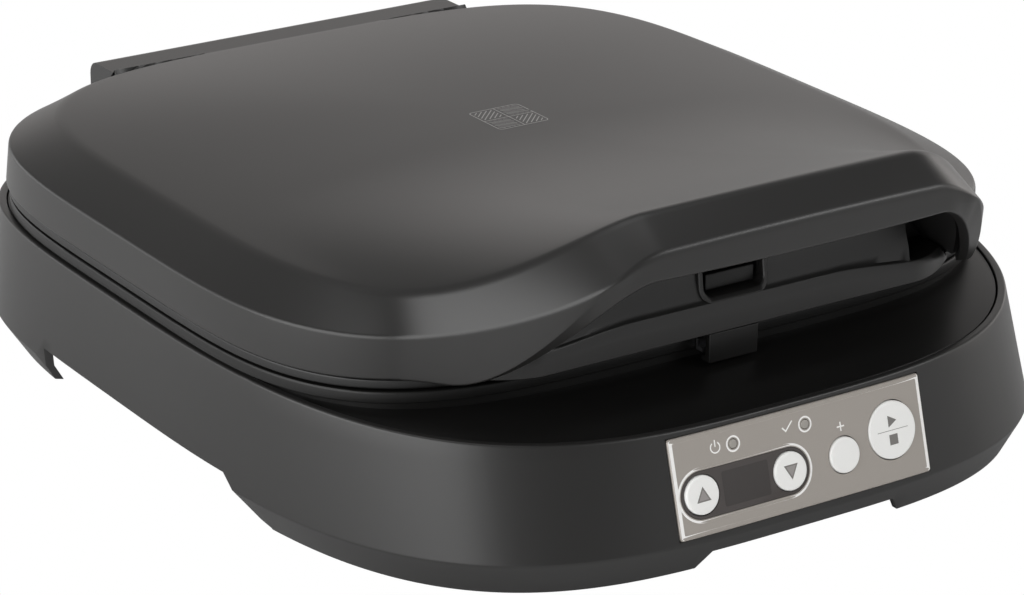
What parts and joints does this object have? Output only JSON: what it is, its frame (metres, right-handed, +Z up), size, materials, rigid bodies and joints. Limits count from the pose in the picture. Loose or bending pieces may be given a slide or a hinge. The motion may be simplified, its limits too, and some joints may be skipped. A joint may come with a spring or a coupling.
{
  "type": "sandwich maker",
  "caption": "Countertop sandwich press: wide base with sloped key panel, crowned hinged lid, arched front handle with latch, square cavities split by diagonal ridges.",
  "frame": {"origin": "middle of the footprint, on the table under the rubber feet", "axes": "+X to the user's right, +Y from the key panel towards the hinge, +Z up"},
  "size_m": [0.336, 0.3915, 0.1345],
  "materials": {
    "body": "satin moulded charcoal",
    "deck": "satin moulded black",
    "frame": "matt moulded black",
    "plate": "cast aluminium with a dark non-stick coating",
    "steel": "zinc plated steel",
    "element": "annealed steel tube",
    "shield": "mill-finish sheet",
    "fascia": "warm silver-grey film with a pale border",
    "window": "smoked display window",
    "button": "white keys",
    "lamp": "clear lamp lens",
    "board": "green circuit board",
    "rubber": "black rubber"
  },
  "bodies": {
    "base": {"base_shell": "body", "base_deck": "deck", "plate_bezel": "deck", "base_cover": "deck", "rubber_feet": "rubber", "cover_screws": "steel", "lower_cooking_plate": "plate", "lower_plate_screws": "steel", "lower_heating_element": "element", "lower_heat_shield": "shield", "lower_shield_posts": "steel", "lower_sensor": "steel", "power_board": "board", "board_screws": "steel", "cord_gland": "rubber", "panel_fascia": "fascia", "display_window": "window", "display_module": "frame", "control_board": "board", "key_switches": "steel", "power_light": "lamp", "ready_light": "lamp", "hinge_brackets": "steel", "hinge_pins": "steel", "latch_keeper": "steel"},
    "lid": {"lid_shell": "body", "handle_underside": "body", "pocket_wall": "deck", "hinge_barrel": "body", "lid_frame": "frame", "upper_cooking_plate": "plate", "upper_plate_screws": "steel", "upper_heating_element": "element", "upper_heat_shield": "shield", "upper_shield_posts": "steel", "upper_sensor": "steel", "latch_pin": "steel"},
    "latch": {"latch_lever": "deck"},
    "up_button": {"up_button": "button"},
    "down_button": {"down_button": "button"},
    "more_button": {"more_button": "button"},
    "start_button": {"start_button": "button"}
  },
  "joints": [
    {"name": "lid_hinge", "type": "hinge", "parent": "base", "child": "lid", "pos_m": [0, 0.18275, 0.068], "axis": [-1, 0, 0], "range_deg": [0, 105]},
    {"name": "latch_turn", "type": "hinge", "parent": "lid", "child": "latch", "pos_m": [0, -0.13855, 0.078], "axis": [1, 0, 0], "range_deg": [0, 8]},
    {"name": "up_button_press", "type": "slide", "parent": "base", "child": "up_button", "axis": [0, 0.9638, -0.2666], "range_m": [0, 0.001], "stiffness_N_per_m": 600, "springref_m": -0.0005},
    {"name": "down_button_press", "type": "slide", "parent": "base", "child": "down_button", "axis": [0, 0.9638, -0.2666], "range_m": [0, 0.001], "stiffness_N_per_m": 600, "springref_m": -0.0005},
    {"name": "more_button_press", "type": "slide", "parent": "base", "child": "more_button", "axis": [0, 0.9638, -0.2666], "range_m": [0, 0.001], "stiffness_N_per_m": 600, "springref_m": -0.0005},
    {"name": "start_button_press", "type": "slide", "parent": "base", "child": "start_button", "axis": [0, 0.9638, -0.2666], "range_m": [0, 0.001], "stiffness_N_per_m": 600, "springref_m": -0.0005}
  ]
}
